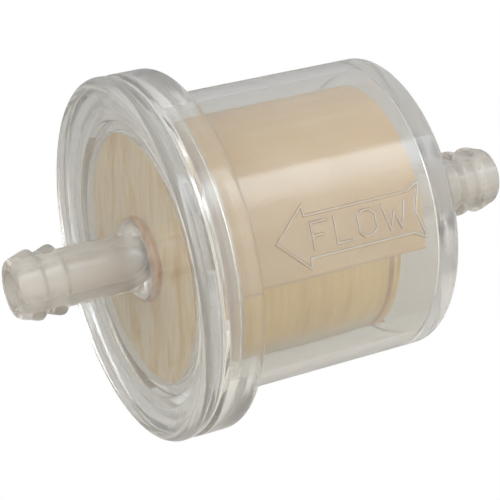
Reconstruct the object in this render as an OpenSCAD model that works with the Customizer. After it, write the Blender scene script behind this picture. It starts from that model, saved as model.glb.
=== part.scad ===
// In-line fuel filter: clear welded shell with a pleated paper element inside.
// The flow axis lies along X, inlet end at +X, outlet end at -X, origin at mid length.

/* [Shell] */
// Diameter of the welded flange
flange_d = 44; // [41:0.5:56]
// Diameter of the housing's barrel
body_d = 36.6; // [30:0.2:38]
// Length of the barrel from the flange to the end wall
body_l = 27.5; // [24:0.5:60]
// Thickness of the barrel's wall
wall = 1.4; // [1:0.1:2]
// Thickness of the housing's end wall
end_wall_t = 2.2; // [1.4:0.1:3.2]
// Outer rounding where the barrel meets its end wall
end_round = 0.6; // [0.3:0.1:1]

/* [Flange] */
// Thickness of the housing's half of the flange
housing_flange_t = 5.3; // [4.5:0.1:8]
// Thickness of the cap's half of the flange, at its rim
cap_rim_t = 2.3; // [2:0.1:3.5]
// Rounding of the flange's two outer edges
flange_round = 1.1; // [0.4:0.1:1.2]
// Depth of the weld groove all round the flange
weld_groove = 0.6; // [0.3:0.1:0.8]
// How far the weld bead stays below the flange's edge
weld_recess = 0.25; // [0.1:0.05:0.25]
// Height of the small step between the flange and the barrel
collar_h = 0.5; // [0.2:0.1:0.8]
// Length of that step
collar_l = 1.1; // [0.6:0.1:2]

/* [Cap] */
// Depth of the dish in the cap's face
dish_depth = 1.2; // [0.6:0.1:1.4]
// Width of the raised rim at its foot
rim_w = 3.9; // [3:0.1:5]
// Thickness of the cap under the dish
cap_t = 1.8; // [1.4:0.1:3]
// How far the cap's skirt reaches into the housing, past its plate
skirt_l = 3.1; // [2.4:0.1:4]
// Wall of the skirt
skirt_t = 1.35; // [1:0.05:2]
// Clearance between the skirt and the housing's mouth
skirt_clear = 0.15; // [0.05:0.05:0.3]
// Clearance between the element and the skirt
element_clear = 0.1; // [0.05:0.05:0.2]

/* [Nipples] */
// Length of the outlet nipple from the floor of the dish
outlet_l = 15.4; // [12:0.1:24]
// Length of the inlet nipple from the end wall
inlet_l = 16.2; // [12:0.1:24]
// Diameter over the barbs' crests
barb_d = 8.4; // [8:0.1:9.4]
// Diameter at the foot of the leading barb
valley_d = 7.2; // [7:0.1:7.6]
// Diameter of the plain neck behind the barbs
neck_d = 6.9; // [6.2:0.1:7]
// Diameter at the nipple's tip, before it is rounded
tip_d = 7.3; // [6.8:0.1:7.6]
// Rounding of the tip
tip_round = 0.8; // [0.4:0.1:1]
// Diameter of the flow passage
bore_d = 4.2; // [3:0.1:4.6]
// Fillet where a nipple meets its wall
root_fillet = 1.8; // [0.8:0.1:2]
// Length of the leading cone
tip_l = 2.4; // [1.8:0.1:3]
// Length of the short straight land on each crest
crest_l = 0.4; // [0.3:0.1:0.6]
// Length of the step down behind each crest
drop_l = 0.6; // [0.4:0.1:0.8]
// Length of the second barb's cone
cone_l = 1.7; // [1.2:0.1:2.2]

/* [Element] */
// How far the outer wrap stays inside the outlet ring's edge
wrap_inset = 0.1; // [0:0.05:0.5]
// Thickness of the outer wrap
wrap_t = 0.3; // [0.2:0.05:0.4]
// Clearance between the outer wrap and the sleeve under it
wrap_clear = 0.1; // [0.05:0.05:0.2]
// Free space between the outer wrap and the end wall
wrap_space = 0.9; // [0.5:0.1:2]
// Upper edge of the wrap's opening, in degrees up from the front
opening_top = 5; // [0:1:15]
// Lower edge of the wrap's opening, in degrees down from the front
opening_low = 62; // [10:1:80]
// Thickness of the paper sleeve round the folds
sleeve_t = 0.35; // [0.2:0.05:0.6]
// Clearance between the sleeve and the folds with their clip
sleeve_clear = 0.1; // [0.05:0.05:0.2]
// Diameter inside the paper's inner folds
paper_bore_d = 17.2; // [15:0.1:18]
// Thickness of the paper
paper_t = 0.3; // [0.2:0.05:0.3]
// Number of folds
pleats = 44; // [36:1:46]
// Width of a fold at its outer edge
fold_w = 1.1; // [0.9:0.05:1.2]
// Space between two folds at the core
fold_gap = 0.28; // [0.2:0.02:0.3]
// Thickness of each end disc
disc_t = 1; // [0.6:0.1:1.6]
// Thickness of the adhesive under each end disc
potting_t = 0.6; // [0.4:0.1:1]
// Free space between the element and the end wall
end_space = 4.1; // [2:0.1:8]
// Thickness of the seam clip's metal
clip_t = 0.2; // [0.1:0.05:0.2]
// Share of its fold's depth that the seam clip covers
clip_reach = 0.6; // [0.3:0.05:0.8]
// Wall of the core tube
core_wall = 0.9; // [0.6:0.1:1.2]
// Clearance between the core tube and the paper
core_clear = 0.1; // [0.05:0.05:0.2]
// Diameter of the core tube's holes
core_hole_d = 3; // [2:0.1:3.4]
// Rows of holes along the core tube
core_rows = 4; // [2:1:5]
// Holes in each row
core_holes = 8; // [4:2:10]

/* [Outlet seal] */
// Outer diameter of the cap's inner spigot
spigot_d = 7; // [6.4:0.1:8]
// Clearance between the spigot and what fits round it
spigot_clear = 0.1; // [0.05:0.05:0.2]
// Width of the seal washer's ring
seal_w = 1.6; // [1:0.1:4]
// Thickness of the seal washer
seal_t = 0.8; // [0.6:0.1:1.2]

/* [Flow mark] */
// Height of the raised mark
mark_h = 0.25; // [0.1:0.05:0.3]
// Width of the mark's lines
mark_w = 0.32; // [0.2:0.02:0.5]
// Angle of the mark up from the front, in degrees
mark_angle = 24; // [0:1:90]
// Distance from the flange to the arrow's point
mark_start = 3.7; // [2.5:0.1:6]
// Length of the arrow
mark_l = 19.3; // [16:0.1:19.5]
// Length of the arrow's head
mark_head_l = 4; // [3:0.1:6]
// Height across the arrow's head
mark_head_w = 7.4; // [6:0.1:9]
// Height across the arrow's shaft
mark_shaft_w = 4.9; // [4.5:0.1:6]
// Height across the arrow's tail
mark_tail_w = 6.6; // [5.5:0.1:8]
// Height of the letters
letter_h = 3; // [2:0.1:3.6]
// Width of a plain letter
letter_w = 2; // [1.5:0.1:2.2]
// Space between two letters
letter_gap = 1; // [0.6:0.1:1.2]
// Space between the arrow's head and the first letter
letter_indent = 0.6; // [0.4:0.1:0.8]

/* [Hidden] */
$fn = 96;
clear_plastic = [0.8, 0.82, 0.82, 0.45];
paper_tan = [0.85, 0.74, 0.55];
arc_steps = 6;

flange_r = flange_d / 2;
body_r = body_d / 2;
bore_r = bore_d / 2;
neck_r = neck_d / 2;
barb_r = barb_d / 2;
chamber_r = body_r - wall;
skirt_r = chamber_r - skirt_clear;
pocket_r = skirt_r - skirt_t;
disc_r = pocket_r - element_clear;
wrap_r = disc_r - wrap_inset;
sleeve_r = wrap_r - wrap_t - wrap_clear;
paper_r = sleeve_r - sleeve_t - sleeve_clear - clip_t;
paper_bore_r = paper_bore_d / 2;
foot_r = paper_bore_r + paper_t;
foot_w = PI * foot_r / pleats - fold_gap / 2;
core_r = paper_bore_r - core_clear;
spigot_r = spigot_d / 2;
round_in = 0.5;

// Stations along the flow axis, from the outlet's tip to the inlet's
overall_l = outlet_l - dish_depth + cap_rim_t + housing_flange_t + body_l + inlet_l;
outlet_tip_x = -overall_l / 2;
dish_x = outlet_tip_x + outlet_l;
rim_x = dish_x - dish_depth;
seam_x = rim_x + cap_rim_t;
flange_x = seam_x + housing_flange_t;
end_x = flange_x + body_l;
chamber_end_x = end_x - end_wall_t;
cap_inner_x = dish_x + cap_t;
ring_x = cap_inner_x + seal_t;
potting_x = ring_x + disc_t;
paper_x = potting_x + potting_t;
element_end_x = chamber_end_x - end_space;
disc_x = element_end_x - disc_t;
paper_end_x = disc_x - potting_t;
wrap_end_x = chamber_end_x - wrap_space;
spigot_l = seal_t + disc_t;

// Points along a circular arc, in the plane of a profile
function arc(cr, cx, r, a0, a1) =
    [for (i = [0:arc_steps]) let (a = a0 + (a1 - a0) * i / arc_steps)
        [cr + r * cos(a), cx + r * sin(a)]];

// Outside of a barbed nipple from its wall to its tip; dir is +1 or -1 along X
function nipple(root_x, length, dir) =
    let (
        tip = length,
        crest_a = tip - tip_l,
        foot_a = crest_a - crest_l - drop_l,
        crest_b = foot_a - cone_l,
        foot_b = crest_b - crest_l - drop_l,
        outline = concat(
            arc(neck_r + root_fillet, root_fillet, root_fillet, 270, 180),
            [
                [neck_r, foot_b],
                [barb_r, crest_b - crest_l],
                [barb_r, crest_b],
                [valley_d / 2, foot_a],
                [barb_r, crest_a - crest_l],
                [barb_r, crest_a]
            ],
            arc(tip_d / 2 - tip_round, tip - tip_round, tip_round, 20, 90),
            [[bore_r, tip]]
        )
    )
    [for (p = outline) [p[0], root_x + dir * p[1]]];

// Turns a profile of [radius, station] points about the flow axis
module turned(points) {
    rotate([0, 90, 0])
        rotate_extrude()
            polygon(points);
}

// Plain ring between two radii and two stations
module ring(inner_r, outer_r, from_x, to_x) {
    turned([[inner_r, from_x], [outer_r, from_x], [outer_r, to_x], [inner_r, to_x]]);
}

// One straight stroke of the mark, with square ends
module stroke(a, b) {
    length = norm(b - a);
    angle = atan2(b[1] - a[1], b[0] - a[0]);
    translate(a)
        rotate(angle)
            translate([-mark_w / 2, -mark_w / 2])
                square([length + mark_w, mark_w]);
}

// A run of strokes through a list of points
module path(points) {
    for (i = [0:len(points) - 2])
        stroke(points[i], points[i + 1]);
}

// Outline of the arrow: point at the left, notched tail at the right
module arrow_outline() {
    head = mark_head_w / 2;
    shaft = mark_shaft_w / 2;
    tail = mark_tail_w / 2;
    flare_x = mark_l - mark_tail_w / 4;
    notch_x = mark_l - mark_tail_w / 6;
    path([
        [mark_head_l, shaft], [mark_head_l, head], [0, 0], [mark_head_l, -head],
        [mark_head_l, -shaft], [flare_x, -shaft], [mark_l, -tail], [notch_x, 0],
        [mark_l, tail], [flare_x, shaft], [mark_head_l, shaft]
    ]);
}

// Plain block letters that spell the direction mark; O is a little wider, W half as wide again
module mark_letters() {
    w = letter_w;
    wide_o = 1.15 * w;
    wide_w = 1.5 * w;
    h = letter_h;
    c = w / 4;
    f = [[[0, 0], [0, h], [w, h]], [[0, h / 2], [0.7 * w, h / 2]]];
    l = [[[0, h], [0, 0], [w, 0]]];
    o = [[
        [c, 0], [0, c], [0, h - c], [c, h],
        [wide_o - c, h], [wide_o, h - c], [wide_o, c], [wide_o - c, 0], [c, 0]
    ]];
    dip = [[0, h], [wide_w / 4, 0], [wide_w / 2, 0.7 * h], [3 * wide_w / 4, 0], [wide_w, h]];
    step = w + letter_gap;
    placed = [[0, f], [step, l], [2 * step, o], [2 * step + wide_o + letter_gap, [dip]]];
    for (letter = placed, run = letter[1])
        translate([mark_head_l + letter_indent + letter[0], -h / 2])
            path(run);
}

// The mark, wrapped onto the barrel as a thin raised skin
module flow_mark() {
    sink = wall / 4;
    intersection() {
        ring(body_r - sink, body_r + mark_h, flange_x, end_x);
        rotate([90 - mark_angle, 0, 0])
            translate([flange_x + mark_start, 0, 0])
                linear_extrude(body_r + 1)
                    union() {
                        arrow_outline();
                        mark_letters();
                    }
    }
}

module housing() {
    color(clear_plastic) {
        turned(concat(
            [
                [chamber_r, seam_x],
                [flange_r - weld_groove, seam_x],
                [flange_r, seam_x + weld_groove]
            ],
            arc(flange_r - flange_round, flange_x - flange_round, flange_round, 0, 90),
            [
                [body_r + collar_h, flange_x],
                [body_r + collar_h, flange_x + collar_l - collar_h],
                [body_r, flange_x + collar_l]
            ],
            arc(body_r - end_round, end_x - end_round, end_round, 0, 90),
            nipple(end_x, inlet_l, 1),
            [[bore_r, chamber_end_x]],
            arc(chamber_r - round_in, chamber_end_x - round_in, round_in, 90, 0)
        ));
        flow_mark();
    }
}

module end_cap() {
    plate = nipple(dish_x, outlet_l, -1);
    color(clear_plastic)
        turned(concat(
            [
                [flange_r - weld_groove, seam_x],
                [skirt_r, seam_x],
                [skirt_r, cap_inner_x + skirt_l],
                [pocket_r, cap_inner_x + skirt_l],
                [pocket_r, cap_inner_x],
                [spigot_r, cap_inner_x],
                [spigot_r, cap_inner_x + spigot_l],
                [bore_r, cap_inner_x + spigot_l]
            ],
            [for (i = [len(plate) - 1:-1:0]) plate[i]],
            [
                [flange_r - rim_w, dish_x],
                [flange_r - rim_w / 2, rim_x + dish_depth / 5],
                [flange_r - rim_w / 3, rim_x]
            ],
            arc(flange_r - flange_round, rim_x + flange_round, flange_round, 270, 360),
            [[flange_r, seam_x - weld_groove]]
        ));
}

// Plastic squeezed out by the weld, lying in the groove between the two flanges
module weld_bead() {
    out = weld_groove - weld_recess;
    color(clear_plastic)
        turned([
            [flange_r - weld_groove, seam_x],
            [flange_r - weld_recess, seam_x - out],
            [flange_r - weld_recess, seam_x + out]
        ]);
}

// Corner of a fold: half-width w at radius r, turned to the fold's angle
function fold_point(r, w, a) =
    [sqrt(r * r - w * w) * cos(a) - w * sin(a), sqrt(r * r - w * w) * sin(a) + w * cos(a)];

// The same point on the other side of a fold's middle
function flipped(p) = [p[0], -p[1]];

// Closed outline of all folds, between an outer and an inner radius and half-width
function folds(outer_r, outer_w, inner_r, inner_w) =
    [for (k = [0:pleats - 1]) let (a = k * 360 / pleats)
        for (p = [[inner_r, -inner_w], [outer_r, -outer_w], [outer_r, outer_w], [inner_r, inner_w]])
            fold_point(p[0], p[1], a)];

// Outer wrap of smooth paper, open along the front where the sleeve shows
module outer_wrap() {
    reach = 2 * wrap_r;
    middle = (opening_top - opening_low) / 2;
    color(paper_tan)
        difference() {
            ring(wrap_r - wrap_t, wrap_r, paper_x, wrap_end_x);
            translate([ring_x, 0, 0])
                rotate([0, 90, 0])
                    linear_extrude(end_x - ring_x)
                        polygon(concat(
                            [[0, 0]],
                            [for (a = [opening_top, middle, -opening_low]) reach * [-sin(a), -cos(a)]]
                        ));
        }
}

module paper_sleeve() {
    color(paper_tan)
        ring(sleeve_r - sleeve_t, sleeve_r, paper_x, paper_end_x);
}

module filter_paper() {
    slit_w = PI * paper_bore_r / pleats - fold_gap / 2 - paper_t;
    color(paper_tan)
        translate([paper_end_x, 0, 0])
            rotate([0, -90, 0])
                linear_extrude(paper_end_x - paper_x)
                    difference() {
                        polygon(folds(paper_r, fold_w / 2, foot_r, foot_w));
                        polygon(folds(paper_r - paper_t, fold_w / 2 - paper_t, paper_bore_r, slit_w));
                    }
}

// Folded strip that holds the paper's two ends together, over the fold at the top
module seam_clip() {
    crest = fold_point(paper_r, fold_w / 2, 0);
    root = fold_point(foot_r, foot_w, 0);
    edge = crest + (root - crest) * clip_reach;
    outer_crest = crest + [clip_t, clip_t];
    outer_edge = edge + [0, clip_t];
    color([0.72, 0.73, 0.74])
        translate([paper_end_x, 0, 0])
            rotate([0, -90, 0])
                linear_extrude(paper_end_x - paper_x)
                    polygon([
                        edge, crest, flipped(crest), flipped(edge),
                        flipped(outer_edge), flipped(outer_crest), outer_crest, outer_edge
                    ]);
}

module outlet_end_ring() {
    color(paper_tan)
        ring(spigot_r + spigot_clear, disc_r, ring_x, potting_x);
}

module inlet_end_disc() {
    color(paper_tan)
        turned([[0, disc_x], [sleeve_r, disc_x], [sleeve_r, element_end_x], [0, element_end_x]]);
}

module outlet_potting() {
    color([0.82, 0.66, 0.4])
        ring(core_r, disc_r, potting_x, paper_x);
}

module inlet_potting() {
    color([0.82, 0.66, 0.4])
        ring(core_r, sleeve_r, paper_end_x, disc_x);
}

module core_tube() {
    step = (disc_x - potting_x) / core_rows;
    color([0.93, 0.92, 0.88])
        difference() {
            ring(core_r - core_wall, core_r, potting_x, disc_x);
            for (row = [0:core_rows - 1], hole = [0:core_holes - 1])
                translate([potting_x + (row + 0.5) * step, 0, 0])
                    rotate([(hole + 0.5 * (row % 2)) * 360 / core_holes, 0, 0])
                        translate([0, 0, core_r - 2 * core_wall])
                            cylinder(d = core_hole_d, h = 3 * core_wall);
        }
}

module outlet_seal() {
    color([0.72, 0.45, 0.2])
        ring(spigot_r + spigot_clear, spigot_r + spigot_clear + seal_w, cap_inner_x, ring_x);
}

housing();
end_cap();
weld_bead();
outer_wrap();
paper_sleeve();
filter_paper();
seam_clip();
outlet_end_ring();
inlet_end_disc();
outlet_potting();
inlet_potting();
core_tube();
outlet_seal();
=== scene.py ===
from math import atan2, cos, hypot, pi, radians, sin

import bmesh
import bpy
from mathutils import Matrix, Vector


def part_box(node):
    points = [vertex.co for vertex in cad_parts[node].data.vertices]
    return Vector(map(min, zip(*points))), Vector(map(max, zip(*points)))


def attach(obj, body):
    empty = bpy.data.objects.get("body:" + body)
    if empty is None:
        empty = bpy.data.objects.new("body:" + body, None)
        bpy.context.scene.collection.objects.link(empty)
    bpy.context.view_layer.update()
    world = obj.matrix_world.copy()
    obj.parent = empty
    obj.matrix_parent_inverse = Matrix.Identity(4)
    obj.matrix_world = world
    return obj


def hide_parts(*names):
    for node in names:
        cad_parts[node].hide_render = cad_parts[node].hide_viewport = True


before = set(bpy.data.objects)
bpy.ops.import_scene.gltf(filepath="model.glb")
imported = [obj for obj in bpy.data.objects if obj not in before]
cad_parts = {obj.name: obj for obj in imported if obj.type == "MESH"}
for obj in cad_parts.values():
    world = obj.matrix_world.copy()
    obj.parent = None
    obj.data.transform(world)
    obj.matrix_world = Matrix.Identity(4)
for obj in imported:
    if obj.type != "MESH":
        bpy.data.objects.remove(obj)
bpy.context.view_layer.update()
mm = 0.001


# sizes read from the frame, in mm

def nodeBox(name):
    low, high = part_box(name)
    return [v / mm for v in low], [v / mm for v in high]


capLow = nodeBox("end_cap")[0]
shellLow, shellHigh = nodeBox("housing")
discLow, discHigh = nodeBox("inlet_end_disc")
ringLow, ringHigh = nodeBox("outlet_end_ring")
sleeveLow, sleeveHigh = nodeBox("paper_sleeve")
wrapLow, wrapHigh = nodeBox("outer_wrap")
sealLow, sealHigh = nodeBox("outlet_seal")

station = dict(outletTip=capLow[0], seam=shellLow[0], capInner=sealLow[0], inletTip=shellHigh[0])
flangeRadius = shellHigh[1]
print("frame read: length %.1f mm, flange radius %.1f mm" % (
    station["inletTip"] - station["outletTip"], flangeRadius))


# colour and node helpers

def linear(hexColour):
    # sRGB hex to linear
    out = []
    for i in (0, 2, 4):
        c = int(hexColour[i:i + 2], 16) / 255
        out.append(c / 12.92 if c <= 0.04045 else ((c + 0.055) / 1.055) ** 2.4)
    return (*out, 1.0)


def addNode(tree, kind, settings=None, **links):
    # one node with its settings; links name a socket and give a value or another node's socket
    node = tree.nodes.new(kind)
    for key, value in (settings or {}).items():
        setattr(node, key, value)
    for key, value in links.items():
        socket = node.inputs[int(key[1:])] if key[0] == "i" and key[1:].isdigit() \
            else node.inputs[key.replace("_", " ")]
        if isinstance(value, bpy.types.NodeSocket):
            tree.links.new(value, socket)
        else:
            socket.default_value = value
    return node


def ramp(node, stops):
    band = node.color_ramp
    while len(band.elements) > 1:
        band.elements.remove(band.elements[-1])
    band.elements[0].position, band.elements[0].color = stops[0]
    for place, colour in stops[1:]:
        band.elements.new(place).color = colour
    return node


def startMaterial(name):
    material = bpy.data.materials.new(name)
    material.use_nodes = True
    tree = material.node_tree
    tree.nodes.clear()
    return material, tree


def finishMaterial(tree, shader):
    out = tree.nodes.new("ShaderNodeOutputMaterial")
    tree.links.new(shader, out.inputs["Surface"])


# materials

# Clear styrene-acrylonitrile, injection moulded and polished: water-clear, with faint flow waviness
plastic = dict(sinkWaves=9, polishMarks=1.3,         # mm from wave to wave
               boreEdge=(2.3, 2.6),                  # radii between which a finish changes
               nippleEdge=(4.3, 5.4), markEdge=(18.3, 18.5), markStart=-8.5)


def mouldedClearPlastic():
    material, tree = startMaterial("mouldedClearPlastic")
    place = addNode(tree, "ShaderNodeTexCoord")
    flow = addNode(tree, "ShaderNodeTexNoise", Vector=place.outputs["Object"],
                   Scale=1 / (plastic["sinkWaves"] * mm), Detail=2.0, Roughness=0.5)
    fine = addNode(tree, "ShaderNodeTexNoise", Vector=place.outputs["Object"],
                   Scale=1 / (plastic["polishMarks"] * mm), Detail=3.0, Roughness=0.6)
    waves = addNode(tree, "ShaderNodeBump", Height=flow.outputs["Fac"],
                    Strength=0.25, Distance=0.1 * mm)
    marks = addNode(tree, "ShaderNodeBump", Height=fine.outputs["Fac"], Normal=waves.outputs["Normal"],
                    Strength=0.07, Distance=0.02 * mm)
    axes = addNode(tree, "ShaderNodeSeparateXYZ", Vector=place.outputs["Object"])
    across = addNode(tree, "ShaderNodeCombineXYZ", Y=axes.outputs["Y"], Z=axes.outputs["Z"])
    radius = addNode(tree, "ShaderNodeVectorMath", {"operation": "LENGTH"}, i0=across.outputs["Vector"])
    # core pins leave a matte bore
    boreIn, boreOut = plastic["boreEdge"]
    bore = addNode(tree, "ShaderNodeMapRange", Value=radius.outputs["Value"],
                   From_Min=boreIn * mm, From_Max=boreOut * mm, To_Min=0.3, To_Max=0.0)
    polish = addNode(tree, "ShaderNodeMapRange", Value=fine.outputs["Fac"],
                     To_Min=0.015, To_Max=0.06)
    # along the raised mark: 0 on the clear barrel, 0.5 on the stroke's foot, 1 on its spark-eroded top
    markFoot, markTop = plastic["markEdge"]
    raised = addNode(tree, "ShaderNodeMapRange", Value=radius.outputs["Value"],
                     From_Min=markFoot * mm, From_Max=markTop * mm)
    barrel = addNode(tree, "ShaderNodeMath", {"operation": "GREATER_THAN"},
                     i0=axes.outputs["X"], i1=plastic["markStart"] * mm)
    stroke = addNode(tree, "ShaderNodeMath", {"operation": "MULTIPLY"},
                     i0=raised.outputs["Result"], i1=barrel.outputs["Value"])
    # painted shade: the stroke's foot is painted dark grey and made less clear, standing in for the dark
    # refraction lines along the mark's steep sides; the pale top is the frosted spark-eroded finish
    tint = ramp(addNode(tree, "ShaderNodeValToRGB", Fac=stroke.outputs["Value"]), [
        (0.05, linear("FAF9F5")), (0.3, linear("857F78")), (0.7, linear("857F78")),
        (0.95, linear("E9E6E0"))])
    clarityWithShadedFoot = ramp(addNode(tree, "ShaderNodeValToRGB", Fac=stroke.outputs["Value"]), [
        (0.05, (1, 1, 1, 1)), (0.3, (0.74, 0.74, 0.74, 1)), (0.7, (0.74, 0.74, 0.74, 1)),
        (0.95, (0.9, 0.9, 0.9, 1))])
    # the nipples are moulded in unpolished steel, so they are a touch milky
    milkIn, milkOut = plastic["nippleEdge"]
    nipples = addNode(tree, "ShaderNodeMapRange", Value=radius.outputs["Value"],
                      From_Min=milkIn * mm, From_Max=milkOut * mm, To_Min=1.0, To_Max=0.0)
    milk = addNode(tree, "ShaderNodeMapRange", Value=nipples.outputs["Result"], To_Min=0.92, To_Max=0.85)
    clear = addNode(tree, "ShaderNodeMath", {"operation": "MULTIPLY"},
                    i0=clarityWithShadedFoot.outputs["Color"], i1=milk.outputs["Result"])
    warm = addNode(tree, "ShaderNodeMix", {"data_type": "RGBA", "blend_type": "MULTIPLY"},
                   i0=nipples.outputs["Result"], i6=tint.outputs["Color"], i7=linear("F4EFEA"))
    dull = addNode(tree, "ShaderNodeMath", {"operation": "MULTIPLY_ADD"},
                   i0=stroke.outputs["Value"], i1=0.2, i2=bore.outputs["Result"])
    matte = addNode(tree, "ShaderNodeMath", {"operation": "MULTIPLY_ADD"},
                    i0=nipples.outputs["Result"], i1=0.07, i2=dull.outputs["Value"])
    haze = addNode(tree, "ShaderNodeMath", {"operation": "ADD"},
                   i0=polish.outputs["Result"], i1=matte.outputs["Value"])
    body = addNode(tree, "ShaderNodeBsdfPrincipled",
                   Base_Color=warm.outputs[2], Roughness=haze.outputs["Value"], IOR=1.53,
                   Transmission_Weight=clear.outputs["Value"], Normal=marks.outputs["Normal"])
    finishMaterial(tree, body.outputs["BSDF"])
    return material


# Resin-treated cellulose paper, calendered: matte, with short fibres; streaks run along one axis
def filterPaper(name, tones, stretch, streakSize, glowThrough, paintedLowVeil=None):
    material, tree = startMaterial(name)
    place = addNode(tree, "ShaderNodeTexCoord")
    along = addNode(tree, "ShaderNodeMapping", Vector=place.outputs["Object"], Scale=stretch)
    streaks = addNode(tree, "ShaderNodeTexNoise", Vector=along.outputs["Vector"],
                      Scale=1 / (streakSize * mm), Detail=3.0, Roughness=0.55)    # pressing marks
    fibres = addNode(tree, "ShaderNodeTexNoise", Vector=place.outputs["Object"],
                     Scale=1 / (0.35 * mm), Detail=4.0, Roughness=0.7)            # fibre flecks
    clouds = addNode(tree, "ShaderNodeTexNoise", Vector=place.outputs["Object"],
                     Scale=1 / (6 * mm), Detail=2.0, Roughness=0.5)               # resin clouding
    tone = addNode(tree, "ShaderNodeMath", {"operation": "MULTIPLY_ADD"},
                   i0=streaks.outputs["Fac"], i1=0.6, i2=0.05)
    tone2 = addNode(tree, "ShaderNodeMath", {"operation": "MULTIPLY_ADD"},
                    i0=clouds.outputs["Fac"], i1=0.35, i2=tone.outputs["Value"])
    colour = ramp(addNode(tree, "ShaderNodeValToRGB", Fac=tone2.outputs["Value"]), [
        (0.3, linear(tones[0])), (0.52, linear(tones[1])), (0.75, linear(tones[2]))])
    tint = colour.outputs["Color"]
    if paintedLowVeil:
        # painted reflection: the paper is paled towards the bottom, standing in for the plastic's grazing
        # reflection that veils the paper low down
        spot = addNode(tree, "ShaderNodeSeparateXYZ", Vector=place.outputs["Object"])
        lowVeilMask = addNode(tree, "ShaderNodeMapRange", Value=spot.outputs["Z"], From_Min=-6.0 * mm,
                        From_Max=-9.6 * mm, To_Min=0.0, To_Max=0.9)
        tint = addNode(tree, "ShaderNodeMix", {"data_type": "RGBA"}, i0=lowVeilMask.outputs["Result"],
                       i6=tint, i7=linear(paintedLowVeil)).outputs[2]
    fleck = addNode(tree, "ShaderNodeMix", {"data_type": "RGBA", "blend_type": "MULTIPLY"},
                    i0=0.12, i6=tint, i7=fibres.outputs["Fac"])
    bump = addNode(tree, "ShaderNodeBump", Height=fibres.outputs["Fac"], Strength=0.35,
                   Distance=0.05 * mm)
    body = addNode(tree, "ShaderNodeBsdfPrincipled", Base_Color=fleck.outputs[2],
                   Roughness=0.78, Normal=bump.outputs["Normal"])
    body.inputs["Sheen Weight"].default_value = 0.15
    through = addNode(tree, "ShaderNodeBsdfTranslucent", Color=fleck.outputs[2])
    mix = addNode(tree, "ShaderNodeMixShader", i0=glowThrough, i1=body.outputs["BSDF"],
                  i2=through.outputs["BSDF"])
    finishMaterial(tree, mix.outputs["Shader"])
    return material


# Pressed kraft board, die cut: long fibres lying one way and blotches where adhesive soaked in
def pressedBoard():
    material, tree = startMaterial("pressedBoard")
    place = addNode(tree, "ShaderNodeTexCoord")
    grain = addNode(tree, "ShaderNodeMapping", Vector=place.outputs["Object"], Scale=(1.0, 1.0, 0.3))
    fibres = addNode(tree, "ShaderNodeTexNoise", Vector=grain.outputs["Vector"],
                     Scale=1 / (0.8 * mm), Detail=5.0, Roughness=0.65, Distortion=0.6)
    soak = addNode(tree, "ShaderNodeTexNoise", Vector=grain.outputs["Vector"],
                   Scale=1 / (3.2 * mm), Detail=3.0, Roughness=0.55, Distortion=1.2)
    colour = ramp(addNode(tree, "ShaderNodeValToRGB", Fac=soak.outputs["Fac"]), [
        (0.3, linear("DDA848")), (0.46, linear("F0CF88")), (0.6, linear("F8E4B8")),
        (0.75, linear("E4BA62"))])
    fleck = addNode(tree, "ShaderNodeMix", {"data_type": "RGBA", "blend_type": "MULTIPLY"},
                    i0=0.18, i6=colour.outputs["Color"], i7=fibres.outputs["Fac"])
    bump = addNode(tree, "ShaderNodeBump", Height=fibres.outputs["Fac"], Strength=0.4, Distance=0.06 * mm)
    body = addNode(tree, "ShaderNodeBsdfPrincipled", Base_Color=fleck.outputs[2], Roughness=0.82,
                   Normal=bump.outputs["Normal"])
    through = addNode(tree, "ShaderNodeBsdfTranslucent", Color=fleck.outputs[2])
    mix = addNode(tree, "ShaderNodeMixShader", i0=0.2, i1=body.outputs["BSDF"], i2=through.outputs["BSDF"])
    finishMaterial(tree, mix.outputs["Shader"])
    return material


# Cast plastisol adhesive: amber, glossy where it skinned over, cloudy with fine bubbles inside
def castPotting():
    material, tree = startMaterial("castPotting")
    place = addNode(tree, "ShaderNodeTexCoord")
    bubbles = addNode(tree, "ShaderNodeTexVoronoi", Vector=place.outputs["Object"], Scale=1 / (0.5 * mm))
    cloud = addNode(tree, "ShaderNodeTexNoise", Vector=place.outputs["Object"],
                    Scale=1 / (2.5 * mm), Detail=3.0)
    colour = ramp(addNode(tree, "ShaderNodeValToRGB", Fac=cloud.outputs["Fac"]), [
        (0.35, linear("C88F3C")), (0.65, linear("D9A857"))])
    bump = addNode(tree, "ShaderNodeBump", Height=bubbles.outputs["Distance"], Strength=0.3,
                   Distance=0.08 * mm)
    body = addNode(tree, "ShaderNodeBsdfPrincipled", Base_Color=colour.outputs["Color"], Roughness=0.32,
                   IOR=1.5, Normal=bump.outputs["Normal"])
    through = addNode(tree, "ShaderNodeBsdfTranslucent", Color=colour.outputs["Color"])
    mix = addNode(tree, "ShaderNodeMixShader", i0=0.35, i1=body.outputs["BSDF"], i2=through.outputs["BSDF"])
    finishMaterial(tree, mix.outputs["Shader"])
    return material


# Natural nylon, moulded: milky, waxy, with drag lines along the pull of the core pin
def naturalNylon():
    material, tree = startMaterial("naturalNylon")
    place = addNode(tree, "ShaderNodeTexCoord")
    drag = addNode(tree, "ShaderNodeMapping", Vector=place.outputs["Object"], Scale=(0.05, 1.0, 1.0))
    lines = addNode(tree, "ShaderNodeTexNoise", Vector=drag.outputs["Vector"], Scale=1 / (0.4 * mm),
                    Detail=3.0)
    colour = ramp(addNode(tree, "ShaderNodeValToRGB", Fac=lines.outputs["Fac"]), [
        (0.3, linear("DCD2BC")), (0.7, linear("E8E1CF"))])
    bump = addNode(tree, "ShaderNodeBump", Height=lines.outputs["Fac"], Strength=0.2, Distance=0.03 * mm)
    body = addNode(tree, "ShaderNodeBsdfPrincipled", Base_Color=colour.outputs["Color"], Roughness=0.42,
                   IOR=1.53, Normal=bump.outputs["Normal"])
    through = addNode(tree, "ShaderNodeBsdfTranslucent", Color=colour.outputs["Color"])
    mix = addNode(tree, "ShaderNodeMixShader", i0=0.4, i1=body.outputs["BSDF"], i2=through.outputs["BSDF"])
    finishMaterial(tree, mix.outputs["Shader"])
    return material


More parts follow.
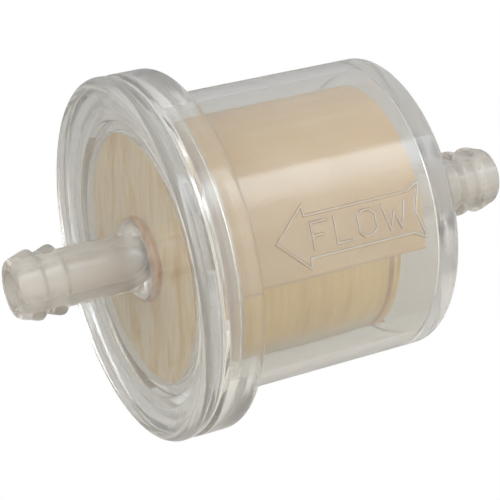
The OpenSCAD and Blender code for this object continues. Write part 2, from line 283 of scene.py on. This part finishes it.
# Tin-plated steel strip, slit and folded: rolling lines run along it
def platedStrip():
    material, tree = startMaterial("platedStrip")
    place = addNode(tree, "ShaderNodeTexCoord")
    roll = addNode(tree, "ShaderNodeMapping", Vector=place.outputs["Object"], Scale=(0.02, 1.0, 1.0))
    lines = addNode(tree, "ShaderNodeTexNoise", Vector=roll.outputs["Vector"], Scale=1 / (0.08 * mm),
                    Detail=2.0)
    spangle = addNode(tree, "ShaderNodeTexVoronoi", Vector=place.outputs["Object"], Scale=1 / (1.5 * mm))
    colour = ramp(addNode(tree, "ShaderNodeValToRGB", Fac=spangle.outputs["Distance"]), [
        (0.0, linear("C4C5C6")), (1.0, linear("B2B4B6"))])
    rough = addNode(tree, "ShaderNodeMapRange", Value=lines.outputs["Fac"], To_Min=0.22, To_Max=0.42)
    body = addNode(tree, "ShaderNodeBsdfPrincipled", Base_Color=colour.outputs["Color"], Metallic=1.0,
                   Roughness=rough.outputs["Result"])
    finishMaterial(tree, body.outputs["BSDF"])
    return material


# Poured urethane seal: honey-coloured, slightly tacky, with a wavy pour line
def pouredUrethane():
    material, tree = startMaterial("pouredUrethane")
    place = addNode(tree, "ShaderNodeTexCoord")
    pour = addNode(tree, "ShaderNodeTexNoise", Vector=place.outputs["Object"], Scale=1 / (1.2 * mm),
                   Detail=3.0, Distortion=0.8)
    colour = ramp(addNode(tree, "ShaderNodeValToRGB", Fac=pour.outputs["Fac"]), [
        (0.32, linear("D08A2A")), (0.5, linear("E2AC5A")), (0.68, linear("EFCF96"))])
    bump = addNode(tree, "ShaderNodeBump", Height=pour.outputs["Fac"], Strength=0.4, Distance=0.1 * mm)
    body = addNode(tree, "ShaderNodeBsdfPrincipled", Base_Color=colour.outputs["Color"], Roughness=0.38,
                   IOR=1.49, Normal=bump.outputs["Normal"])
    through = addNode(tree, "ShaderNodeBsdfTranslucent", Color=colour.outputs["Color"])
    mix = addNode(tree, "ShaderNodeMixShader", i0=0.3, i1=body.outputs["BSDF"], i2=through.outputs["BSDF"])
    finishMaterial(tree, mix.outputs["Shader"])
    return material


clearPlastic = mouldedClearPlastic()
# smooth wrap with soft bands along the flow; the sleeve under it is painted a deeper amber as painted
# shade, standing in for the shadow and interreflection inside the open wrap, and is streaked round about
wrapPaper = filterPaper("wrapPaper", ("D6AB6C", "E0BB80", "ECCF9E"), (0.08, 1.0, 1.0), 2.2, 0.15)
sleevePaper = filterPaper("sleevePaper", ("DDB052", "ECC76C", "F5D88A"), (1.0, 0.1, 0.1), 1.1, 0.2,
                          paintedLowVeil="E1D9C0")
pleatPaper = filterPaper("pleatPaper", ("D9AE62", "E4C17C", "EDCF94"), (0.08, 1.0, 1.0), 2.2, 0.4)
board = pressedBoard()
print("materials made")


# shell profiles, as [radius, station] in mm

nipple = dict(barbRadius=4.2, valleyRadius=3.6, neckRadius=3.45, tipRadius=3.65, tipRound=0.8,
              boreRadius=2.1, rootFillet=1.8, tipLength=2.4, crest=0.4, drop=0.6, cone=1.7,
              crestRound=0.12)
cap = dict(rimThickness=2.3, dishDepth=1.2, rimWidth=3.9, rimRound=1.1,
           skirtReach=3.1, skirtWall=1.35, skirtGap=0.15, spigotRadius=3.5, spigotReach=1.8,
           spigotGap=0.1)
housing = dict(flangeThickness=5.3, flangeRound=1.1, bodyRadius=18.3, wall=1.4, endWall=2.2,
               endRound=0.6, collarHeight=0.5, collarLength=1.1, innerRound=0.5, nippleLength=16.2)
weld = dict(groove=0.6, recess=0.25, bulge=0.04,
            film=0.015)                 # the hairline of air left in the joint


def arc(cr, cx, r, a0, a1, count=10):
    return [(cr + r * cos(radians(a0 + (a1 - a0) * i / count)),
             cx + r * sin(radians(a0 + (a1 - a0) * i / count))) for i in range(count + 1)]


def rounded(points, radii, count=5):
    # eases each corner that has a radius with a small curve
    out = []
    for i, (p, r) in enumerate(zip(points, radii)):
        if r <= 0 or i in (0, len(points) - 1):
            out.append(p)
            continue
        a, b = Vector(points[i - 1]) - Vector(p), Vector(points[i + 1]) - Vector(p)
        cut = min(r, a.length * 0.45, b.length * 0.45)
        start, end = Vector(p) + a.normalized() * cut, Vector(p) + b.normalized() * cut
        for k in range(count + 1):
            t = k / count
            q = start * (1 - t) ** 2 + Vector(p) * 2 * t * (1 - t) + end * t * t
            out.append((q.x, q.y))
    return out


def nippleOutline(rootX, length, way):
    n = nipple
    crestA = length - n["tipLength"]
    footA = crestA - n["crest"] - n["drop"]
    crestB = footA - n["cone"]
    footB = crestB - n["crest"] - n["drop"]
    soft = n["crestRound"]
    barbs = [(n["neckRadius"], n["rootFillet"] + 0.2), (n["neckRadius"], footB),
             (n["barbRadius"], crestB - n["crest"]), (n["barbRadius"], crestB),
             (n["valleyRadius"], footA), (n["barbRadius"], crestA - n["crest"]),
             (n["barbRadius"], crestA), (n["tipRadius"] + 0.02, length - n["tipRound"])]
    points = arc(n["neckRadius"] + n["rootFillet"], n["rootFillet"], n["rootFillet"], 270, 180)
    points += rounded(barbs, [0, soft, soft, soft, soft, soft, soft, 0])
    points += arc(n["tipRadius"] - n["tipRound"], length - n["tipRound"], n["tipRound"], 20, 90)
    points += arc(n["boreRadius"] + 0.25, length - 0.25, 0.25, 90, 180, 4)
    return [(r, rootX + way * x) for r, x in points]


def supported(points, longRun=0.3, near=0.04):
    # extra points close to the ends of long straight runs keep them optically flat
    out = []
    for i, p in enumerate(points):
        q = points[(i + 1) % len(points)]
        out.append(p)
        span = hypot(q[0] - p[0], q[1] - p[1])
        if span > longRun:
            for t in (near / span, 1 - near / span):
                out.append((p[0] + (q[0] - p[0]) * t, p[1] + (q[1] - p[1]) * t))
    return out


def eased(points, radius, sharpest=22):
    # small moulded radius on every corner of a closed outline that turns more than so many degrees
    out = []
    count = len(points)
    for i in range(count):
        p = Vector(points[i])
        a, b = Vector(points[i - 1]) - p, Vector(points[(i + 1) % count]) - p
        bend = abs(pi - a.angle(b)) if a.length > 0 and b.length > 0 else 0
        if bend < radians(sharpest) or p.x == 0:
            out.append((p.x, p.y))
            continue
        cut = min(radius, a.length * 0.4, b.length * 0.4)
        start, end = p + a.normalized() * cut, p + b.normalized() * cut
        for k in range(4):
            t = k / 3
            q = start * (1 - t) ** 2 + p * 2 * t * (1 - t) + end * t * t
            out.append((q.x, q.y))
    return out


def lathed(name, outline, angles, lift=None, closed=True):
    # turns a closed [radius, station] outline about the flow axis, all round or between the end angles
    mesh = bpy.data.meshes.new(name)
    build = bmesh.new()
    rings = []
    for a in angles:
        ca, sa = cos(radians(a)), sin(radians(a))
        ring = []
        for r, x in outline:
            up = lift(x, a, r) if lift else 0
            ring.append(build.verts.new((x * mm, -(r + up) * ca * mm, (r + up) * sa * mm)))
        rings.append(ring)
    count = len(outline)
    for i, ring in enumerate(rings if closed else rings[:-1]):
        after = rings[(i + 1) % len(rings)]
        for k in range(count):
            n = (k + 1) % count
            build.faces.new((ring[k], ring[n], after[n], after[k]))
    if not closed:
        build.faces.new(rings[0])
        build.faces.new(rings[-1])
    # closes a profile that meets the axis
    bmesh.ops.remove_doubles(build, verts=build.verts, dist=0.0001 * mm)
    bmesh.ops.recalc_face_normals(build, faces=build.faces)
    for face in build.faces:
        face.smooth = True
    build.to_mesh(mesh)
    build.free()
    piece = bpy.data.objects.new(name, mesh)
    bpy.context.scene.collection.objects.link(piece)
    return piece


def place(piece, material, slotName, *nodes):
    piece.data.materials.clear()
    piece.data.materials.append(material)
    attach(piece, "root")
    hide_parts(*nodes)


def steps(start, end, size):
    count = max(1, round((end - start) / size))
    return [start + (end - start) * i / count for i in range(count)]


# flow mark: strokes as (along, across) in mm, from the arrow's point

mark = dict(angle=24, start=3.7, length=19.3, headLength=4, head=3.7, shaft=2.45, tail=3.3,
            letterHeight=3, letter=2, gap=1, indent=0.6, height=0.25, halfWidth=0.19,
            flatTop=0.08, margin=0.6)


def markStrokes():
    m = mark
    flare, notch = m["length"] - m["tail"] / 2, m["length"] - m["tail"] / 3
    back = m["headLength"]
    runs = [[(back, m["shaft"]), (back, m["head"]), (0, 0), (back, -m["head"]), (back, -m["shaft"]),
             (flare, -m["shaft"]), (m["length"], -m["tail"]), (notch, 0), (m["length"], m["tail"]),
             (flare, m["shaft"]), (back, m["shaft"])]]
    w, h = m["letter"], m["letterHeight"]
    wideO, wideW, c = 1.15 * w, 1.5 * w, w / 3
    letterF = [[(0, 0), (0, h), (w, h)], [(0, h / 2), (0.7 * w, h / 2)]]
    letterL = [[(0, h), (0, 0), (w, 0)]]
    letterO = [[(c, 0), (0, c), (0, h - c), (c, h), (wideO - c, h), (wideO, h - c), (wideO, c),
                (wideO - c, 0), (c, 0)]]
    letterW = [[(0, h), (wideW / 4, 0), (wideW / 2, 0.7 * h), (3 * wideW / 4, 0), (wideW, h)]]
    step = w + m["gap"]
    starts = (0, step, 2 * step, 2 * step + wideO + m["gap"])
    for begin, letter in zip(starts, (letterF, letterL, letterO, letterW)):
        for run in letter:
            runs.append([(back + m["indent"] + begin + u, v - h / 2) for u, v in run])
    return [(a, b) for run in runs for a, b in zip(run, run[1:])]


strokes = markStrokes()
flangeRear = station["seam"] + housing["flangeThickness"]
bodyEnd = station["inletTip"] - housing["nippleLength"]
markFrom = flangeRear + mark["start"]


def markLift(x, angle, r):
    # how far the barrel's surface rises at this place to form a stroke
    if abs(r - housing["bodyRadius"]) > 0.001:
        return 0
    u, v = x - markFrom, radians(angle - mark["angle"]) * housing["bodyRadius"]
    edge = mark["margin"]
    if not (-edge < u < mark["length"] + edge and abs(v) < mark["head"] + edge):
        return 0
    near = mark["length"]
    for (u0, v0), (u1, v1) in strokes:
        du, dv = u1 - u0, v1 - v0
        t = max(0, min(1, ((u - u0) * du + (v - v0) * dv) / (du * du + dv * dv)))
        near = min(near, hypot(u - u0 - t * du, v - v0 - t * dv))
    if near > mark["halfWidth"]:
        return 0
    down = max(0, near - mark["flatTop"]) / (mark["halfWidth"] - mark["flatTop"])
    return mark["height"] * (0.5 + 0.5 * cos(pi * down))


# housing

def makeHousing():
    h, s = housing, station
    chamber = h["bodyRadius"] - h["wall"]
    outline = [(chamber, s["seam"]), (flangeRadius - weld["groove"], s["seam"]),
               (flangeRadius, s["seam"] + weld["groove"])]
    outline += arc(flangeRadius - h["flangeRound"], flangeRear - h["flangeRound"], h["flangeRound"], 0, 90)
    outline += [(h["bodyRadius"] + h["collarHeight"], flangeRear),
                (h["bodyRadius"] + h["collarHeight"], flangeRear + h["collarLength"] - h["collarHeight"])]
    inner = [(nipple["boreRadius"], bodyEnd - h["endWall"])]
    inner += arc(chamber - h["innerRound"], bodyEnd - h["endWall"] - h["innerRound"],
                 h["innerRound"], 90, 0)
    outline += [(h["bodyRadius"], flangeRear + h["collarLength"])]
    outline += arc(h["bodyRadius"] - h["endRound"], bodyEnd - h["endRound"], h["endRound"], 0, 90)
    outline += nippleOutline(bodyEnd, s["inletTip"] - bodyEnd, 1) + inner
    # the mesh is fine only where the mark is raised
    fine = [(h["bodyRadius"], x) for x in steps(markFrom - 0.5, markFrom + mark["length"] + 0.5, 0.06)]
    outline = supported(eased(outline, 0.1))
    barrel = next(i for i, (p, q) in enumerate(zip(outline, outline[1:]))
                  if abs(p[0] - h["bodyRadius"]) < 0.001 and q[1] - p[1] > 5)
    outline[barrel + 1:barrel + 1] = fine
    low, high = mark["angle"] - 13, mark["angle"] + 13
    angles = steps(low, high, 0.19) + steps(high, low + 360, 2.8)
    piece = lathed("housingShell", outline, angles, markLift)
    place(piece, clearPlastic, "clear_shell", "housing")
    print("housing made, %d faces" % len(piece.data.polygons))


# end cap

def makeCap():
    c, s = cap, station
    rim = s["seam"] - c["rimThickness"]
    dish = rim + c["dishDepth"]
    innerFace = s["capInner"]
    skirt = housing["bodyRadius"] - housing["wall"] - c["skirtGap"]
    face = s["seam"] - weld["film"]
    outline = [(flangeRadius - weld["groove"], face), (skirt, face),
               (skirt, innerFace + c["skirtReach"]), (skirt - c["skirtWall"], innerFace + c["skirtReach"]),
               (skirt - c["skirtWall"], innerFace), (c["spigotRadius"], innerFace),
               (c["spigotRadius"], innerFace + c["spigotReach"]),
               (nipple["boreRadius"], innerFace + c["spigotReach"])]
    outline += list(reversed(nippleOutline(dish, dish - s["outletTip"], -1)))
    outline += [(flangeRadius - c["rimWidth"], dish),
                (flangeRadius - c["rimWidth"] / 2, rim + c["dishDepth"] / 5),
                (flangeRadius - c["rimWidth"] / 3, rim)]
    outline += arc(flangeRadius - c["rimRound"], rim + c["rimRound"], c["rimRound"], 270, 360)
    outline += [(flangeRadius, face - weld["groove"])]
    piece = lathed("endCapShell", supported(eased(outline, 0.12)), steps(0, 360, 1.8))
    place(piece, clearPlastic, "clear_shell", "end_cap")
    print("end cap made, %d faces" % len(piece.data.polygons))


def makeWeld():
    # flash squeezed into the groove, with a rounded face
    gap = weld["film"] * 1.5
    foot, face = flangeRadius - weld["groove"] + 2 * gap, flangeRadius - weld["recess"] - 0.05
    half = face - foot
    outline = [(foot, station["seam"]), (face, station["seam"] + half - gap),
               (face + weld["bulge"], station["seam"]), (face, station["seam"] - half + gap)]
    piece = lathed("weldFlash", eased(outline, 0.05), steps(0, 360, 2.0))
    place(piece, clearPlastic, "clear_shell", "weld_bead")


makeHousing()
makeCap()
makeWeld()


# outer wrap, paper sleeve and end discs

wrap = dict(thickness=0.3, openTop=5, openLow=-62, easing=0.08, press=0.06, slack=0.04)
sleeve = dict(thickness=0.35, folds=44, flats=0.03, waviness=0.02)
seal = dict(air=0.03, bulge=0.15, corner=0.1)


def makeWrap():
    # the front is open, and shallow pressed bands run along the flow
    outerR, innerR = wrapHigh[1], wrapHigh[1] - wrap["thickness"]
    x0, x1 = wrapLow[0], wrapHigh[0]
    outline = [(outerR, x) for x in steps(x0, x1, 1.0)] + [(outerR, x1), (innerR, x1), (innerR, x0)]

    def bands(x, a, r):
        press = 0.5 + 0.25 * sin(radians(a) * 22) + 0.25 * sin(radians(a) * 9 + x * 0.05)
        onOutside = r > outerR - wrap["press"] * 2
        return -wrap["press"] * press if onOutside else wrap["slack"] * (1 - press)

    start, span = wrap["openTop"], 360 + wrap["openLow"] - wrap["openTop"]
    angles = steps(start, start + span, 1.5) + [start + span]
    piece = lathed("outerPaperWrap", eased(outline, wrap["easing"]), angles, bands, closed=False)
    place(piece, wrapPaper, "wrap_paper", "outer_wrap")


def makeSleeve():
    outerR = sleeveHigh[1]
    innerR = outerR - sleeve["thickness"]
    x0, x1 = sleeveLow[0], sleeveHigh[0]
    outline = [(outerR, x) for x in steps(x0, x1, 0.5)] + [(outerR, x1)]
    outline += [(innerR, x1), (innerR, x0)]

    def ripple(x, a, r):
        # folds underneath press soft flats into the sleeve
        if r < outerR - 0.01:
            return 0
        flat = 0.5 + 0.5 * cos(radians(a) * sleeve["folds"])
        wave = 0.5 + 0.5 * sin(radians(a) * 13 + x * 0.2)
        return -sleeve["flats"] * flat - sleeve["waviness"] * wave

    piece = lathed("paperSleeve", outline, steps(0, 360, 1.0), ripple)
    place(piece, sleevePaper, "filter_paper", "paper_sleeve")


def makeEnd(name, node, low, high, bore):
    # a punched disc: sheared edge with a rolled-over rim on the outer face and slight press ripples
    outerR, x0, x1 = high[1], low[0], high[0]
    rings = steps(bore + 1, outerR - 0.5, 0.9)
    outline = [(bore, x1), (bore, x0)] + [(r, x0) for r in rings]
    outline += [(outerR, x0), (outerR, x1)] + [(r, x1) for r in reversed(rings)]
    mesh = lathed(name, supported(eased(outline, 0.15)), steps(0, 360, 2.0)).data
    for v in mesh.vertices:
        angle, radius = atan2(v.co.z, -v.co.y), hypot(v.co.y, v.co.z) / mm
        press = 0.03 * (1 + sin(angle * 5 + radius * 0.5) * cos(angle * 3 - radius * 0.3)) / 2
        middle = (x0 + x1) / 2 * mm
        v.co.x += (press if v.co.x < middle else -press) * mm
    place(bpy.data.objects[name], board, "end_board", node)


def makeSeal():
    # squeezed ring with bulging sides, a hair clear of the plastic
    air, bulge, corner = seal["air"], seal["bulge"], seal["corner"]
    x0, x1 = station["capInner"] + air, ringLow[0]
    inner, outer = cap["spigotRadius"] + cap["spigotGap"], sealHigh[1]
    outline = [(inner + 0.02, x0 + corner), (inner + bulge, x0), (outer - bulge, x0)]
    outline += [(outer - air, x0 + bulge), (outer, (x0 + x1) / 2), (outer - air, x1 - bulge)]
    outline += [(outer - bulge, x1), (inner + bulge, x1), (inner + 0.02, x1 - corner)]
    piece = lathed("urethaneSeal", eased(outline, 0.06), steps(0, 360, 3.0))
    place(piece, pouredUrethane(), "seal_urethane", "outlet_seal")


def finishNode(name, material):
    # parts shut inside the element keep their exact shape and get their own finish
    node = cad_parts[name]
    node.data.materials.clear()
    node.data.materials.append(material)


makeWrap()
makeSleeve()
makeEnd("outletBoardRing", "outlet_end_ring", ringLow, ringHigh, cap["spigotRadius"] + cap["spigotGap"])
makeEnd("inletBoardDisc", "inlet_end_disc", discLow, discHigh, 0)
potting = castPotting()
finishNode("outlet_potting", potting)
finishNode("inlet_potting", potting)
finishNode("filter_paper", pleatPaper)
finishNode("core_tube", naturalNylon())
finishNode("seam_clip", platedStrip())
makeSeal()
print("element made")


# floor, light and camera

studio = dict(floorDrop=22.2, floorSize=900, floorTone=150)    # mm; the tone runs this far each way
view = dict(azimuth=-27.6, elevation=28.1, distance=211.5, aim=(-2.25, -0.80, -1.95), lens=124.8)


def makeFloor():
    mesh = bpy.data.meshes.new("floor")
    build = bmesh.new()
    half, z = studio["floorSize"] / 2 * mm, -studio["floorDrop"] * mm
    corners = [build.verts.new((x * half, y * half, z)) for x, y in ((-1, -1), (1, -1), (1, 1), (-1, 1))]
    build.faces.new(corners)
    build.to_mesh(mesh)
    build.free()
    floor = bpy.data.objects.new("floor", mesh)
    bpy.context.scene.collection.objects.link(floor)
    material, tree = startMaterial("paleSweep")
    where = addNode(tree, "ShaderNodeTexCoord")
    axes = addNode(tree, "ShaderNodeSeparateXYZ", Vector=where.outputs["Object"])
    depth = addNode(tree, "ShaderNodeMapRange", Value=axes.outputs["Y"],
                    From_Min=-studio["floorTone"] * mm, From_Max=studio["floorTone"] * mm)
    tone = ramp(addNode(tree, "ShaderNodeValToRGB", Fac=depth.outputs["Result"]), [
        (0.05, (1.15, 1.12, 1.08, 1)), (0.4, (0.95, 0.9, 0.82, 1)),
        (0.5, (0.47, 0.46, 0.44, 1)), (0.75, (0.46, 0.45, 0.44, 1))])
    path = addNode(tree, "ShaderNodeLightPath")
    glow = addNode(tree, "ShaderNodeEmission", Color=tone.outputs["Color"])
    pale = addNode(tree, "ShaderNodeEmission", Color=(1, 1, 1, 1))
    mix = addNode(tree, "ShaderNodeMixShader", i0=path.outputs["Is Camera Ray"],
                  i1=glow.outputs["Emission"], i2=pale.outputs["Emission"])
    finishMaterial(tree, mix.outputs["Shader"])
    material.cycles.emission_sampling = "NONE"    # found by bounced rays only, as they pass the plastic
    mesh.materials.append(material)


def makeWorld():
    # soft light all round, with one bright band above the front that draws the highlight along the barrel
    world = bpy.data.worlds.new("studio")
    bpy.context.scene.world = world
    world.use_nodes = True
    tree = world.node_tree
    tree.nodes.clear()
    where = addNode(tree, "ShaderNodeTexCoord")
    axes = addNode(tree, "ShaderNodeSeparateXYZ", Vector=where.outputs["Generated"])
    front = addNode(tree, "ShaderNodeMath", {"operation": "MULTIPLY"}, i0=axes.outputs["Y"], i1=-1.0)
    turn = addNode(tree, "ShaderNodeMath", {"operation": "ARCTAN2"}, i0=axes.outputs["Z"],
                   i1=front.outputs["Value"])
    fac = addNode(tree, "ShaderNodeMapRange", Value=turn.outputs["Value"],
                  From_Min=-pi, From_Max=pi)

    def at(deg):
        return (deg + 180) / 360

    def grey(v, cool=1.01):
        return (v / 2, v / 2 * (1 + cool) / 2, v / 2 * cool, 1)

    tone = ramp(addNode(tree, "ShaderNodeValToRGB", Fac=fac.outputs["Result"]), [
        (0.0, grey(0.5)), (at(-90), grey(0.6)), (at(-20), grey(1.0)), (at(5), grey(1.35, 1.05)),
        (at(46), grey(1.55, 1.06)), (at(60), grey(3.2, 1.24)), (at(71), grey(3.3, 1.24)),
        (at(74), grey(1.0)), (at(120), grey(0.85)), (1.0, grey(0.5))])
    # warmer and brighter beyond the outlet, dimmer beyond the inlet
    end = addNode(tree, "ShaderNodeMapRange", Value=axes.outputs["X"], From_Min=-1.0, From_Max=1.0)
    side = ramp(addNode(tree, "ShaderNodeValToRGB", Fac=end.outputs["Result"]), [
        (0.0, (0.94, 0.91, 0.85, 1)), (0.5, (0.5, 0.496, 0.5, 1)), (1.0, (0.38, 0.376, 0.375, 1))])
    both = addNode(tree, "ShaderNodeMix", {"data_type": "RGBA", "blend_type": "MULTIPLY"},
                   i0=1.0, i6=tone.outputs["Color"], i7=side.outputs["Color"])
    path = addNode(tree, "ShaderNodeLightPath")
    light = addNode(tree, "ShaderNodeBackground", Color=both.outputs[2], Strength=4.0)
    pale = addNode(tree, "ShaderNodeBackground", Color=(1, 1, 1, 1))
    mix = addNode(tree, "ShaderNodeMixShader", i0=path.outputs["Is Camera Ray"],
                  i1=light.outputs["Background"], i2=pale.outputs["Background"])
    out = tree.nodes.new("ShaderNodeOutputWorld")
    tree.links.new(mix.outputs["Shader"], out.inputs["Surface"])
    world.cycles.sampling_method = "NONE"


def makeCamera():
    data = bpy.data.cameras.new("camera")
    camera = bpy.data.objects.new("camera", data)
    bpy.context.scene.collection.objects.link(camera)
    az, el = radians(view["azimuth"]), radians(view["elevation"])
    aim = Vector(view["aim"]) * mm
    away = Vector((sin(az) * cos(el), -cos(az) * cos(el), sin(el)))
    camera.location = aim + away * view["distance"] * mm
    camera.rotation_euler = (-away).to_track_quat("-Z", "Y").to_euler()
    data.lens = view["lens"]
    data.sensor_width = 36
    data.clip_start = 0.01
    bpy.context.scene.camera = camera


makeFloor()
makeWorld()
makeCamera()

scene = bpy.context.scene
scene.view_settings.view_transform = "Standard"
scene.cycles.use_denoising = True
scene.cycles.max_bounces = 48
scene.cycles.transmission_bounces = 48
scene.cycles.glossy_bounces = 48
scene.cycles.transparent_max_bounces = 24
scene.cycles.caustics_refractive = True
scene.cycles.caustics_reflective = True
print("studio set")
